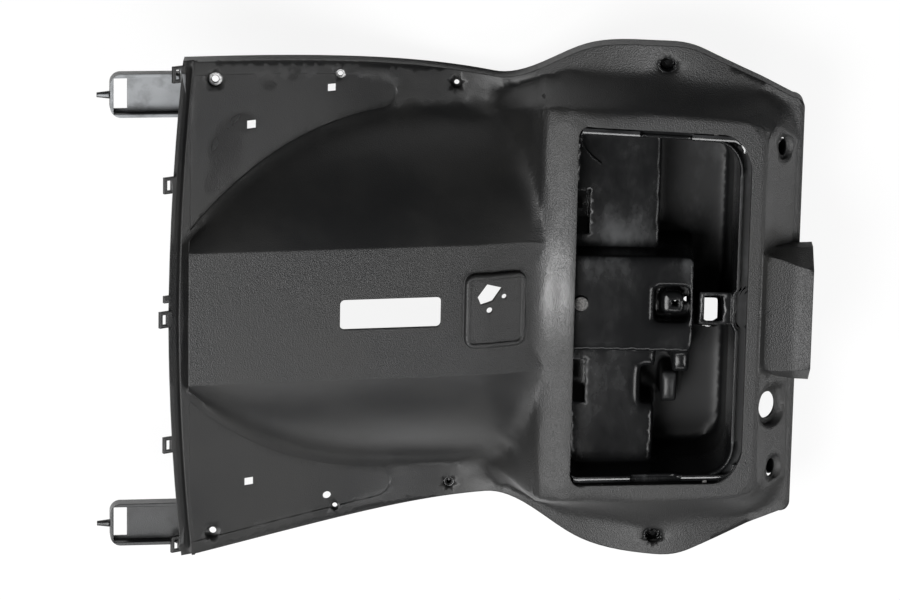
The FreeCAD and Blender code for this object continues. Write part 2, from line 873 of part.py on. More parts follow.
flange_ring = feature("tub_flange_plate", raised(opening_wire(size("tub_flange"), LIP - TUB), TUB))
flange_hole = feature("tub_flange_hole", raised(tub_wire(0.6, LIP - TUB - 1), TUB + 2))
tub_flange = cut("tub_flange", flange_ring, flange_hole)
cuts = [
    walled("rim_left", LEFT, size("open_left_x") + 1, -220, 220, LIP, RIM + 9),
    walled("rim_gap_upper", 160, 202, 100, 220, LIP + 1, RIM + 9),
    walled("rim_gap_lower", 155, 197, -220, -100, LIP + 1, RIM + 9),
    tower_well,
]
for side, sign in SIDES:
    low, high = sorted((sign * 56, sign * 94))
    cuts.append(walled("hinge_window_" + side, 96, 118, low, high, SHELF - 12, SHELF + 8))
for i, (x, y) in enumerate(boss_points, start=1):
    radius = "dims.screw_shank / 2 + dims.screw_clearance"
    cuts.append(cylinder("flange_hole_%d" % i, radius, 20, (x, y, LIP - 10)))
cuts.append(
    cylinder(
        "column_hole", "dims.column_shank / 2 + dims.screw_clearance", 30, (size("column_x"), 0, TUNNEL - 20)
    )
)

tub_full = fuse("tub_full", [tub_shell, tunnel_body, notch_wall, tub_flange, tower] + blocks)
tub_hollowed = cut("tub_hollowed", tub_full, fuse("tub_hollows", [tunnel_hollow, notch_space] + block_hollows))
tub_pocketed = fuse("tub_pocketed", [tub_hollowed, pocket_wall])
tub_opened = cut("tub_opened", tub_pocketed, fuse("tub_cuts", [pocket_space] + cuts))
tub_striker = fuse("tub_striker", [tub_opened, striker])
tub = cut("tub", tub_striker, fuse("striker_bores", striker_bores))
tub.Label = "glove_box"

# Screws under the flange, and the screw on the tunnel


def screw(name, head, head_depth, shank, length, at, down):
    """Round head with its seat at the point `at`; the shank runs down or up from it."""
    turn = Rotation(Vector(1, 0, 0), 180) if down else UPRIGHT
    crown_part = doc.addObject("Part::Cylinder", name + "_head")
    bind(crown_part, "Radius", head)
    bind(crown_part, "Height", head_depth)
    body_part = doc.addObject("Part::Cylinder", name + "_shank")
    bind(body_part, "Radius", shank)
    bind(body_part, "Height", length)
    body_part.Placement = Placement(at, turn)
    crown_part.Placement = Placement(at, turn * Rotation(Vector(1, 0, 0), 180))
    return fuse(name, [crown_part, body_part])


screws = []
for i, (x, y) in enumerate(boss_points, start=1):
    screws.append(
        screw(
            "flange_screw_%d" % i,
            "dims.screw_head / 2",
            "dims.screw_head_depth",
            "dims.screw_shank / 2",
            "dims.screw_length",
            Vector(x, y, LIP - TUB),
            False,
        )
    )
screw_set = doc.addObject("Part::Compound", "screw_set")
screw_set.Links = screws
screw_set.Label = "glove_box_screws"
column_screw = screw(
    "column_bolt",
    "dims.column_head / 2",
    "dims.column_head_depth",
    "dims.column_shank / 2",
    "dims.column_length",
    Vector(size("column_x"), 0, TUNNEL),
    True,
)
column_screw.Label = "column_screw"

sub_parts = [panel, tub, screw_set, column_screw]
for obj in sub_parts:
    obj.Placement = Placement(Vector(-size("frame_shift"), 0, 0), UPRIGHT)
doc.recompute()

# Whole and sound before anything is written

for obj in doc.Objects:
    if "Invalid" in obj.State or "Error" in obj.State:
        raise RuntimeError("failed: " + obj.Name)
for obj in sub_parts:
    if obj.Shape.isNull() or not obj.Shape.isValid():
        raise RuntimeError("unsound: " + obj.Label)

os.makedirs("parts", exist_ok=True)
for obj in sub_parts:
    obj.Shape.exportStep("parts/" + obj.Label + ".step")
    bounds = obj.Shape.BoundBox
    print(
        obj.Label,
        "solids", len(obj.Shape.Solids),
        "volume", round(obj.Shape.Volume),
        "z", round(bounds.ZMin, 2), round(bounds.ZMax, 2),
    )
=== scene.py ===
import math

import bmesh
import bpy
import numpy as np
from mathutils import Matrix, Vector
from mathutils.bvhtree import BVHTree


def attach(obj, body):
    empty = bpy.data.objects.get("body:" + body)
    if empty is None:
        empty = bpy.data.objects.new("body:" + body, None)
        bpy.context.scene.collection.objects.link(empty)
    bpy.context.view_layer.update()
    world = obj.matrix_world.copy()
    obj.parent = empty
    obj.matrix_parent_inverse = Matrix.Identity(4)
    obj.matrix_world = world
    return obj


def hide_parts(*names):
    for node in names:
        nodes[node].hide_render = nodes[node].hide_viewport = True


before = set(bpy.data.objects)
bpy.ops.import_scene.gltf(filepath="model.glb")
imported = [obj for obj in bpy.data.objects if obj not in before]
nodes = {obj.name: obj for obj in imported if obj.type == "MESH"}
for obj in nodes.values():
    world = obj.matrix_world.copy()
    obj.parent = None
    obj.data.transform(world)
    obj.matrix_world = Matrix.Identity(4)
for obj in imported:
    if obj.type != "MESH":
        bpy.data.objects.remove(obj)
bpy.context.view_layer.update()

MM = 0.001
SIDES = (("upper", 1), ("lower", -1))
UP = Vector((0, 0, 1))

# Places along X are this much more in the panel's own frame than in the row's frame

FRAME_SHIFT = 4.5

# Camera: a long lens almost straight above the panel, leaning towards +Y

CAMERA_TILT = math.radians(15)
CAMERA_ROLL = math.radians(-1.12)
CAMERA_REACH = 3.88
CAMERA_FAR = 20
MM_PER_PIXEL = 0.85
PICTURE_WIDTH = 900
SENSOR_WIDTH = 36
LOOK_AT = Vector((-FRAME_SHIFT, 0, 103)) * MM
SHIFT_DOWN_PIXELS = 8.5


def make_camera():
    data = bpy.data.cameras.new("camera")
    data.sensor_width = SENSOR_WIDTH
    data.lens = CAMERA_REACH / MM / MM_PER_PIXEL * SENSOR_WIDTH / PICTURE_WIDTH
    data.shift_y = SHIFT_DOWN_PIXELS / PICTURE_WIDTH
    data.clip_end = CAMERA_FAR
    camera = bpy.data.objects.new("camera", data)
    bpy.context.scene.collection.objects.link(camera)
    back = Vector((0, math.sin(CAMERA_TILT), math.cos(CAMERA_TILT)))
    level_up = Vector((0, math.cos(CAMERA_TILT), -math.sin(CAMERA_TILT)))
    right = Vector((math.cos(CAMERA_ROLL), 0, 0)) - level_up * math.sin(CAMERA_ROLL)
    up = Vector((math.sin(CAMERA_ROLL), 0, 0)) + level_up * math.cos(CAMERA_ROLL)
    turn = Matrix((right, up, back)).transposed().to_4x4()
    camera.matrix_world = Matrix.Translation(LOOK_AT + back * CAMERA_REACH) @ turn
    bpy.context.scene.camera = camera


# Node helpers

MIX_FIRST = 6
MIX_SECOND = 7
MIX_RESULT = 2
CELL_SMOOTHNESS = 0.6
EDGE_SAMPLES = 6
SPOT_EDGE = 1.45
SPOT_WOBBLE = 0.9


class Shader:
    """Short way to add and link nodes of one material."""

    def __init__(self, name):
        self.material = bpy.data.materials.new(name)
        self.material.use_nodes = True
        self.tree = self.material.node_tree
        self.surface = self.tree.nodes["Principled BSDF"]
        self.place = self.add("ShaderNodeTexCoord").outputs["Object"]

    def add(self, kind, **settings):
        node = self.tree.nodes.new(kind)
        for key, value in settings.items():
            setattr(node, key, value)
        return node

    def feed(self, socket, value):
        if isinstance(value, bpy.types.NodeSocket):
            self.tree.links.new(value, socket)
        else:
            socket.default_value = value

    def set(self, name, value):
        self.feed(self.surface.inputs[name], value)

    def noise(self, scale, detail=2.0, roughness=0.5, stretch=(1, 1, 1)):
        node = self.add("ShaderNodeTexNoise")
        self.feed(node.inputs["Vector"], self.scaled(stretch))
        node.inputs["Scale"].default_value = scale
        node.inputs["Detail"].default_value = detail
        node.inputs["Roughness"].default_value = roughness
        return node.outputs["Fac"]

    def cells(self, scale):
        node = self.add("ShaderNodeTexVoronoi", feature="SMOOTH_F1")
        self.feed(node.inputs["Vector"], self.place)
        node.inputs["Scale"].default_value = scale
        node.inputs["Smoothness"].default_value = CELL_SMOOTHNESS
        return node.outputs["Distance"]

    def scaled(self, stretch):
        if stretch == (1, 1, 1):
            return self.place
        node = self.add("ShaderNodeMapping")
        self.feed(node.inputs["Vector"], self.place)
        node.inputs["Scale"].default_value = stretch
        return node.outputs["Vector"]

    def math(self, operation, first, second=0.5):
        node = self.add("ShaderNodeMath", operation=operation)
        self.feed(node.inputs[0], first)
        self.feed(node.inputs[1], second)
        return node.outputs[0]

    def between(self, value, low, high, out_low=0.0, out_high=1.0):
        """Smooth change of value from out_low at low to out_high at high."""
        node = self.add("ShaderNodeMapRange", interpolation_type="SMOOTHSTEP")
        for socket, setting in zip(node.inputs, (value, low, high, out_low, out_high)):
            self.feed(socket, setting)
        return node.outputs["Result"]

    def blend(self, share, first, second):
        node = self.add("ShaderNodeMix", data_type="RGBA")
        self.feed(node.inputs["Factor"], share)
        self.feed(node.inputs[MIX_FIRST], first)
        self.feed(node.inputs[MIX_SECOND], second)
        return node.outputs[MIX_RESULT]

    def axis(self, name):
        node = self.add("ShaderNodeSeparateXYZ")
        self.feed(node.inputs[0], self.place)
        return node.outputs[name]

    def normal_axis(self, name):
        geometry = self.add("ShaderNodeNewGeometry")
        node = self.add("ShaderNodeSeparateXYZ")
        self.feed(node.inputs[0], geometry.outputs["Normal"])
        return node.outputs[name]

    def soft_edges(self, radius):
        node = self.add("ShaderNodeBevel", samples=EDGE_SAMPLES)
        node.inputs["Radius"].default_value = radius
        return node.outputs["Normal"]

    def bump(self, height, distance, strength, normal):
        node = self.add("ShaderNodeBump")
        self.feed(node.inputs["Height"], height)
        self.feed(node.inputs["Strength"], strength)
        node.inputs["Distance"].default_value = distance
        self.feed(node.inputs["Normal"], normal)
        return node.outputs["Normal"]

    def spot(self, x, y, radius_x, radius_y, soft, wobble):
        """Blob of 1 round a place on the panel, with an uneven edge."""
        along = self.math("DIVIDE", self.math("SUBTRACT", self.axis("X"), x * MM), radius_x * MM)
        across = self.math("DIVIDE", self.math("SUBTRACT", self.axis("Y"), y * MM), radius_y * MM)
        away = self.math("ADD", self.math("POWER", along, 2.0), self.math("POWER", across, 2.0))
        away = self.math("ADD", self.math("SQRT", away), self.math("MULTIPLY", wobble, SPOT_WOBBLE))
        return self.between(away, SPOT_EDGE + soft, SPOT_EDGE - soft)


# Finishes: a noise is its scale, detail and roughness, and a range is low, high and what each becomes

BLACK = (0.0060, 0.0062, 0.0066, 1)
WARM_BLACK = (0.0105, 0.0104, 0.0100, 1)
OIL = (0.003, 0.003, 0.003, 1)
# Pale grey for dust; in the tub it is also a painted reflection on faces that point up
DUST_AND_SHEEN_GREY = (0.16, 0.165, 0.17, 1)
PALE_DUST = (0.24, 0.25, 0.26, 1)
DARK_STEEL = (0.05, 0.05, 0.05, 1)
PALE_STEEL = (0.16, 0.155, 0.15, 1)
WORN_DARK = (0.22, 0.22, 0.22, 1)
WORN_BRIGHT = (0.6, 0.6, 0.6, 1)

PANEL_CLOUD = (9, 4, 0.6)
PANEL_FLECK = (60, 3, 0.6)
PANEL_WOBBLE = (45, 3, 0.5)
PANEL_WARM = (0.35, 0.7)
PANEL_ROUGH = (0.3, 0.75, 0.36, 0.46)
PANEL_EDGE = 1.6
PANEL_WAVE = (14, 2)
PANEL_WAVE_HEIGHT = 1.2
PANEL_WAVE_STRENGTH = 0.15

# Oil stains near the upper corner of the floor end: place, then reach along X and Y
MAIN_STAIN = (-194, 137, 14, 26)
MORE_STAINS = ((-206, 112, 7, 11), (-182, 160, 12, 10), (-160, 188, 7, 5), (-140, 196, 6, 6))
STAIN_SOFT = 0.25
STAIN_DARK = 0.7
STAIN_GLOSS = 0.12

# Dust on the flat strip beyond the foot of the hump, thickest towards the upper corner
DUSTY_X = (-226 * MM, -232 * MM)
DUSTY_Y = (100 * MM, 160 * MM, 0.08, 1.0)
DUSTY_FLECK = (0.25, 0.6, 0.5, 1.0)
DUSTY_LEVEL = (0.85, 0.95)

# Polished place on the left side of the bezel
POLISH = (84, 16, 13, 32)
POLISH_SOFT = 1.2
POLISH_GLOSS = 0.22

# Pebble grain, strongest from the bezel to the head end and along the middle
GRAIN_SCALE = 1050
GRAIN_HEIGHT = 0.3
GRAIN_STRENGTH = 0.9
PEBBLED_X = (60 * MM, 66 * MM, 0.3, 1.0)
PEBBLED_HALF = (60 * MM, 55 * MM)
PEBBLED_POLISH = (0.0, 1.0, 1.0, 0.55)
PEBBLED_ROUGH = 0.07


def panel_plastic():
    """Black moulded plastic: satin all over, with pebble grain and handling marks."""
    shader = Shader("panel_plastic")
    cloud = shader.noise(*PANEL_CLOUD)
    fleck = shader.noise(*PANEL_FLECK)
    wobble = shader.noise(*PANEL_WOBBLE)
    colour = shader.blend(shader.between(cloud, *PANEL_WARM), BLACK, WARM_BLACK)
    stain = shader.spot(*MAIN_STAIN, STAIN_SOFT, wobble)
    for place in MORE_STAINS:
        stain = shader.math("MAXIMUM", stain, shader.spot(*place, STAIN_SOFT, wobble))
    colour = shader.blend(shader.math("MULTIPLY", stain, STAIN_DARK), colour, OIL)
    dusty = shader.between(shader.axis("X"), *DUSTY_X)
    dusty = shader.math("MULTIPLY", dusty, shader.between(fleck, *DUSTY_FLECK))
    dusty = shader.math("MULTIPLY", dusty, shader.between(shader.axis("Y"), *DUSTY_Y))
    dusty = shader.math("MULTIPLY", dusty, shader.between(shader.normal_axis("Z"), *DUSTY_LEVEL))
    shader.set("Base Color", shader.blend(dusty, colour, PALE_DUST))
    rough = shader.between(cloud, *PANEL_ROUGH)
    rough = shader.math("SUBTRACT", rough, shader.math("MULTIPLY", stain, STAIN_GLOSS))
    polish = shader.spot(*POLISH, POLISH_SOFT, wobble)
    rough = shader.math("SUBTRACT", rough, shader.math("MULTIPLY", polish, POLISH_GLOSS))
    pebbled = shader.between(shader.axis("X"), *PEBBLED_X)
    aside = shader.math("ABSOLUTE", shader.axis("Y"))
    pebbled = shader.math("MAXIMUM", pebbled, shader.between(aside, *PEBBLED_HALF))
    pebbled = shader.math("MULTIPLY", pebbled, shader.between(polish, *PEBBLED_POLISH))
    shader.set("Roughness", shader.math("ADD", rough, shader.math("MULTIPLY", pebbled, PEBBLED_ROUGH)))
    normal = shader.soft_edges(PANEL_EDGE * MM)
    strength = shader.math("MULTIPLY", pebbled, GRAIN_STRENGTH)
    normal = shader.bump(shader.cells(GRAIN_SCALE), GRAIN_HEIGHT * MM, strength, normal)
    normal = shader.bump(shader.noise(*PANEL_WAVE), PANEL_WAVE_HEIGHT * MM, PANEL_WAVE_STRENGTH, normal)
    shader.set("Normal", normal)
    return shader.material


TUB_SPECULAR = 0.3
TUB_SMEAR = (16, 5, 0.65)
TUB_SMEAR_STRETCH = (1, 0.6, 1)
# Pale smears on up-facing faces of the tub: partly dust, partly a painted reflection that lightens the
# shelves
TUB_DUST_AND_SHEEN = (0.5, 0.78, 0.0, 0.35)
TUB_DUST_AND_SHEEN_LEVEL = (0.6, 0.95)
TUB_ROUGH = (0.35, 0.75, 0.16, 0.34)
TUB_DEEP_Z = (50 * MM, 40 * MM)
TUB_FAR_X = (236 * MM, 244 * MM)
TUB_DULLED = 0.28
TUB_EDGE = 1.5
TUB_WAVE = (20, 2)
TUB_WAVE_HEIGHT = 1.0
TUB_WAVE_STRENGTH = 0.2


def tub_plastic():
    """Smooth glossy black plastic with pale smears on up-facing faces, partly dust and partly a painted
    reflection on the shelves, duller deep down and at the far end.
    """
    shader = Shader("tub_plastic")
    shader.set("Specular IOR Level", TUB_SPECULAR)
    smear = shader.noise(*TUB_SMEAR, TUB_SMEAR_STRETCH)
    # Painted reflection mixed with dust: pale grey laid on the smears only where the faces point up
    dust_and_sheen = shader.between(smear, *TUB_DUST_AND_SHEEN)
    dust_and_sheen = shader.math("MULTIPLY", dust_and_sheen, shader.between(shader.normal_axis("Z"), *TUB_DUST_AND_SHEEN_LEVEL))
    shader.set("Base Color", shader.blend(dust_and_sheen, BLACK, DUST_AND_SHEEN_GREY))
    rough = shader.between(smear, *TUB_ROUGH)
    deep = shader.between(shader.axis("Z"), *TUB_DEEP_Z)
    far = shader.between(shader.axis("X"), *TUB_FAR_X)
    dulled = shader.math("MULTIPLY", shader.math("MAXIMUM", deep, far), TUB_DULLED)
    shader.set("Roughness", shader.math("ADD", rough, dulled))
    normal = shader.soft_edges(TUB_EDGE * MM)
    normal = shader.bump(shader.noise(*TUB_WAVE), TUB_WAVE_HEIGHT * MM, TUB_WAVE_STRENGTH, normal)
    shader.set("Normal", normal)
    return shader.material


RIM_STREAK = (30, 4, 0.6)
RIM_STREAK_STRETCH = (0.4, 3, 1)
RIM_DUST = (0.45, 0.75, 0.0, 0.12)
RIM_ROUGH = (0.3, 0.7, 0.08, 0.22)
RIM_COAT = 0.6
RIM_COAT_ROUGH = 0.08
RIM_EDGE = 0.6
RIM_WAVE = (120, 3, 0.6)
RIM_WAVE_HEIGHT = 0.4
RIM_WAVE_STRENGTH = 0.25


def rim_gloss():
    """Bare glossy black plastic with faint streaks along it."""
    shader = Shader("rim_gloss")
    streak = shader.noise(*RIM_STREAK, RIM_STREAK_STRETCH)
    shader.set("Base Color", shader.blend(shader.between(streak, *RIM_DUST), BLACK, DUST_AND_SHEEN_GREY))
    shader.set("Roughness", shader.between(streak, *RIM_ROUGH))
    shader.set("Coat Weight", RIM_COAT)
    shader.set("Coat Roughness", RIM_COAT_ROUGH)
    normal = shader.soft_edges(RIM_EDGE * MM)
    normal = shader.bump(shader.noise(*RIM_WAVE), RIM_WAVE_HEIGHT * MM, RIM_WAVE_STRENGTH, normal)
    shader.set("Normal", normal)
    return shader.material


STEEL_SPECK = (500, 4, 0.6)
STEEL_PALE = (0.4, 0.65)
STEEL_ROUGH = (0.3, 0.7, 0.3, 0.6)
STEEL_METALLIC = 0.9


def screw_steel():
    """Dull plated steel with darker specks."""
    shader = Shader("screw_steel")
    speck = shader.noise(*STEEL_SPECK)
    shader.set("Base Color", shader.blend(shader.between(speck, *STEEL_PALE), DARK_STEEL, PALE_STEEL))
    shader.set("Roughness", shader.between(speck, *STEEL_ROUGH))
    shader.set("Metallic", STEEL_METALLIC)
    return shader.material


WORN_SCUFF = (700, 4, 0.6)
WORN_PALE = (0.35, 0.65)
WORN_ROUGH = (0.3, 0.7, 0.35, 0.6)


def worn_metal():
    """Bright worn metal with a scuffed surface."""
    shader = Shader("worn_metal")
    scuff = shader.noise(*WORN_SCUFF)
    shader.set("Base Color", shader.blend(shader.between(scuff, *WORN_PALE), WORN_DARK, WORN_BRIGHT))
    shader.set("Roughness", shader.between(scuff, *WORN_ROUGH))
    return shader.material


def paint(mesh, material):
    """Gives a mesh one material in place of any that it has."""
    mesh.materials.clear()
    mesh.materials.append(material)


# Moulded pieces: the solids' own meshes, divided finely so that their creases can be eased

SHARP_ANGLE = math.radians(28)
JOIN_DISTANCE = 1e-6
DIVISION_ROUNDS = 9
EASE_STEP = 0.5


def divided_copy(node_name, fine, coarse, weigh):
    """Mesh of a node with its points joined and its long edges divided.

    No edge is left over `fine` where `weigh` is over 0, or over `coarse` elsewhere.
    """
    shape = bmesh.new()
    shape.from_mesh(nodes[node_name].data)
    bmesh.ops.remove_doubles(shape, verts=shape.verts, dist=JOIN_DISTANCE)
    bmesh.ops.triangulate(shape, faces=shape.faces[:])
    for _ in range(DIVISION_ROUNDS):
        shape.verts.index_update()
        places = np.array([vertex.co for vertex in shape.verts]) / MM + (FRAME_SHIFT, 0, 0)
        free = weigh(places)
        long = []
        for edge in shape.edges:
            first, second = edge.verts
            longest = fine if max(free[first.index], free[second.index]) > 0 else coarse
            if edge.calc_length() > longest * MM:
                long.append(edge)
        if not long:
            break
        bmesh.ops.subdivide_edges(shape, edges=long, cuts=1)
        bmesh.ops.triangulate(shape, faces=[face for face in shape.faces if len(face.verts) > 3])
    return shape


def eased(shape, name, bend, weigh, rounds, sharp):
    """New piece from the divided shape: moved by `bend`, then smoothed where `weigh` allows it."""
    mesh = bpy.data.meshes.new(name)
    shape.to_mesh(mesh)
    shape.free()
    count = len(mesh.vertices)
    flat = np.zeros(count * 3)
    mesh.vertices.foreach_get("co", flat)
    places = flat.reshape(-1, 3) / MM + (FRAME_SHIFT, 0, 0)
    places = bend(places)
    pairs = np.zeros(len(mesh.edges) * 2, int)
    mesh.edges.foreach_get("vertices", pairs)
    ends = np.concatenate([pairs.reshape(-1, 2), pairs.reshape(-1, 2)[:, ::-1]])
    neighbours = np.maximum(np.bincount(ends[:, 0], minlength=count), 1)
    share = (EASE_STEP * weigh(places))[:, None]
    for _ in range(rounds):
        sums = [np.bincount(ends[:, 0], places[ends[:, 1], axis], count) for axis in range(3)]
        places = places + share * (np.stack(sums, 1) / neighbours[:, None] - places)
    mesh.vertices.foreach_set("co", ((places - (FRAME_SHIFT, 0, 0)) * MM).ravel())
    mesh.polygons.foreach_set("use_smooth", [True] * len(mesh.polygons))
    mesh.set_sharp_from_angle(angle=sharp)
    mesh.update()
    piece = bpy.data.objects.new(name, mesh)
    bpy.context.scene.collection.objects.link(piece)
    weighted = piece.modifiers.new("even_shading", "WEIGHTED_NORMAL")
    weighted.keep_sharp = True
    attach(piece, "root")
    return piece


def ramp(value, width):
    return np.clip(value / width, 0, 1)


def outside(places, middle_x, middle_y, half_x, half_y, soft):
    """0 inside a rectangle, rising to 1 at `soft` millimetres from it."""
    gap = np.maximum(abs(places[:, 0] - middle_x) - half_x, abs(places[:, 1] - middle_y) - half_y)
    return ramp(gap, soft)


# Outline of the panel and its opening, as half widths along X, in the panel's own frame

OUTLINE = ((-226, 216), (-104, 204), (34, 186), (74, 196), (116, 218), (176, 225), (212, 219), (297, 183))
OPEN_X = (106, 249)
OPEN_HALF = (155, 146)
OPEN_GROWTH = (3.5, 7)
END_GROWTH = 4
END_GROWTH_X = (215, 272)
END_GROWTH_HALF = 160
END_GROWTH_FADE = 8
HEAD_LIFT = 12
HEAD_LIFT_X = 262
HEAD_LIFT_LENGTH = 32


def outline_half(x):
    return np.interp(x, [point[0] for point in OUTLINE], [point[1] for point in OUTLINE])


def open_half(x):
    return np.interp(x, OPEN_X, OPEN_HALF)


def open_growth(x):
    return np.interp(x, OPEN_X, OPEN_GROWTH)


def carried(half, old, new):
    """Half widths moved so that each level of `old` lands on the same level of `new`."""
    moved = half.copy()
    for i in range(len(old) - 1):
        share = np.clip((half - old[i]) / (old[i + 1] - old[i]), 0, 1)
        inside = (half > old[i]) & (half <= old[i + 1])
        moved[inside] = (new[i] + share * (new[i + 1] - new[i]))[inside]
    return moved


def end_growth(x):
    """Shift of the opening's far end along X, fading out on both sides of it."""
    start, stop = END_GROWTH_X
    end = OPEN_X[1]
    return END_GROWTH * ramp(x - start, end - start) * ramp(stop - x, stop - end)


def head_lift(x):
    return HEAD_LIFT * ramp(x - HEAD_LIFT_X, HEAD_LIFT_LENGTH)


# Bezel: half widths of its ridge and foot, how far they move out, and the fall of its left side

BEZEL_X = (48, 290)
BEZEL_FADE = (26, 20)
BEZEL_LOW = 40
LIP_REACH = 12
RIDGE_X = (77, 263)
RIDGE_HALF = (165, 157)
RIDGE_GROWTH = (9, 8)
FOOT_X = (77, 176, 263)
FOOT_HALF = (185, 184, 177)
FOOT_GROWTH = (5, 15, 8)
FOOT_CLEAR = 2
EDGE_CLEAR = 6
EDGE_MOST = 202
LEFT_FOOT = 32
LEFT_FALL = 9
MIDDLE_FALL = 9
MIDDLE_HALF = 55
FALL_LENGTH = 34
FALL_AT_RIDGE = 0.73
FALL_HALF = 184
FALL_FADE = 14
TAB_X = 278
TAB_LENGTH = 28
TAB_HALF = 76
TAB_TAPER = 0.1


def left_fall(x, y, z):
    """Fall of the bezel's left side, which rounds it over from the ridge and lowers its middle."""
    inner_share = ((OPEN_X[0] - x) / FALL_LENGTH) ** 2
    outer_share = FALL_AT_RIDGE * (x - LEFT_FOOT) / (RIDGE_X[0] - LEFT_FOOT)
    share = np.where(x > RIDGE_X[0], inner_share, outer_share)
    depth = LEFT_FALL + MIDDLE_FALL * np.exp(-((y / MIDDLE_HALF) ** 2))
    left_side = (x > LEFT_FOOT) * (x < OPEN_X[0]) * (z > BEZEL_LOW)
    return depth * share * left_side * ramp(FALL_HALF - abs(y), FALL_FADE)


def shape_bezel(places):
    """Widens the bezel and its opening, rounds its left side, lifts the head end and tapers the tab."""
    x, y, z = places.T
    half = abs(y)
    lip = open_half(x)
    ridge = np.interp(x, RIDGE_X, RIDGE_HALF)
    foot = np.interp(x, FOOT_X, FOOT_HALF)
    edge = np.minimum(outline_half(x) - EDGE_CLEAR, EDGE_MOST)
    new_ridge = ridge + np.interp(x, RIDGE_X, RIDGE_GROWTH)
    new_foot = np.minimum(foot + np.interp(x, FOOT_X, FOOT_GROWTH), edge - FOOT_CLEAR)
    old = [lip - LIP_REACH, lip, ridge, foot, edge]
    new = [lip - LIP_REACH, lip + open_growth(x), new_ridge, new_foot, edge]
    amount = ramp(x - BEZEL_X[0], BEZEL_FADE[0]) * ramp(BEZEL_X[1] - x, BEZEL_FADE[1])
    tab_taper = 1 - TAB_TAPER * ramp(x - TAB_X, TAB_LENGTH) * (half < TAB_HALF)
    result = places.copy()
    result[:, 0] = x + end_growth(x) * ramp(END_GROWTH_HALF - half, END_GROWTH_FADE)
    result[:, 1] = np.sign(y) * (half + (carried(half, old, new) - half) * amount) * tab_taper
    result[:, 2] = z - left_fall(x, y, z) + head_lift(x)
    return result


# Where the panel is eased: within the hump's foot and the skirts, clear of the features that stay crisp

HUMP_HALF = 154
HUMP_FALL = 88
HUMP_START = 219
HUMP_POWER = 2.8
HUMP_CLEAR = 6
HUMP_END = 12
SKIRT_CLEAR = 12
EASE_FADE = 4
EASE_X = (-208, 289)
EASE_X_FADE = 8
PANEL_CRISP = {
    "opening": (179.5, 0, 77, 158),
    "slot": (-50, 0, 46, 16),
    "pad": (38, 0, 30, 36),
    "tab": (285, 0, 32, 68),
    "key_hole": (277, -86, 19, 20),
    "upper_head_hole": (281, 140, 13, 12),
    "lower_head_hole": (281, -140, 13, 12),
}
PANEL_CRISP_FADE = 6
PANEL_FINE = 6.4
PANEL_COARSE = 8
PANEL_ROUNDS = 22


def panel_ease(places):
    """Share of smoothing that each place of the panel takes."""
    x = places[:, 0]
    half = abs(places[:, 1])
    hump_reach = HUMP_HALF + HUMP_CLEAR - HUMP_FALL * (abs(x) / HUMP_START) ** HUMP_POWER
    reach = np.where(x < HUMP_END, hump_reach, outline_half(x) - SKIRT_CLEAR)
    free = ramp(reach - half, EASE_FADE)
    free = free * ramp(x - EASE_X[0], EASE_X_FADE) * ramp(EASE_X[1] - x, EASE_X_FADE)
    for region in PANEL_CRISP.values():
        free = free * outside(places, *region, PANEL_CRISP_FADE)
    return free


def make_panel():
    shape = divided_copy("inner_panel", PANEL_FINE, PANEL_COARSE, panel_ease)
    piece = eased(shape, "panel_moulding", shape_bezel, panel_ease, PANEL_ROUNDS, SHARP_ANGLE)
    paint(piece.data, panel_plastic())
    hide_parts("inner_panel")
    return piece


# Tub: its walls follow the wider opening, and the latch tower leans with its well

RIM_GAP = 6
WALL_FOOT_HALF = 105.0
RIM_GROWTH = 2
FLANGE_HALF = 164.0
FLANGE_GROWTH = 0.5
TOWER_X = (212.5, 241)
TOWER_HALF = 14.5
TOWER_CLEAR = 16
TOWER_TOP = 85
TOWER_LEAN = math.tan(math.radians(16))
WELL_X = (217, 233)
WELL_HALF = 11
TOWER_FOOT_HALF = 14
FLOOR_TOP = 4
TUB_EASE_TOP = 81
TUB_EASE_FADE = 3
TUB_CRISP = {
    "column_screw": (112, 0, 9, 9),
    "striker_bore": (193, 0, 5, 4),
    "outer_striker_bore": (203, 0, 5, 4),
    "upper_hinge_window": (107, 75, 14, 24),
    "lower_hinge_window": (107, -75, 14, 24),
}
TUB_CRISP_FADE = 4
TUB_FINE = 4.4
TUB_COARSE = 6
TUB_ROUNDS = 8
TUB_SHARP_ANGLE = 2 * SHARP_ANGLE


def shape_tub(places):
    """Opens the tub's walls out to the rim and leans the latch tower, so that its well shows through."""
    x, y, z = places.T
    half = abs(y)
    rim = open_half(x) - RIM_GAP
    old = [np.full_like(x, WALL_FOOT_HALF), rim, np.full_like(x, FLANGE_HALF)]
    new = [old[0], rim + open_growth(x) + RIM_GROWTH, old[2] + FLANGE_GROWTH]
    tower = (x > TOWER_X[0]) & (x < TOWER_X[1]) & (half < TOWER_HALF)
    leant = y - (TOWER_TOP - np.clip(z, 0, TOWER_TOP)) * TOWER_LEAN
    result = places.copy()
    result[:, 0] = x + end_growth(x) * (half > TOWER_CLEAR)
    result[:, 1] = np.where(tower, leant, np.sign(y) * carried(half, old, new))
    return result


def open_well(shape):
    """Takes away the floor that the leaning well passes through."""
    low = -WELL_HALF - TOWER_TOP * TOWER_LEAN
    covered = []
    for face in shape.faces:
        x, y, z = face.calc_center_median() / MM + Vector((FRAME_SHIFT, 0, 0))
        if WELL_X[0] < x < WELL_X[1] and low < y < -TOWER_FOOT_HALF and z < FLOOR_TOP:
            covered.append(face)
    bmesh.ops.delete(shape, geom=covered, context="FACES")
    return shape


def tub_ease(places):
    """Share of smoothing that each place of the tub takes."""
    free = ramp(TUB_EASE_TOP - places[:, 2], TUB_EASE_FADE)
    for region in TUB_CRISP.values():
        free = free * outside(places, *region, TUB_CRISP_FADE)
    return free


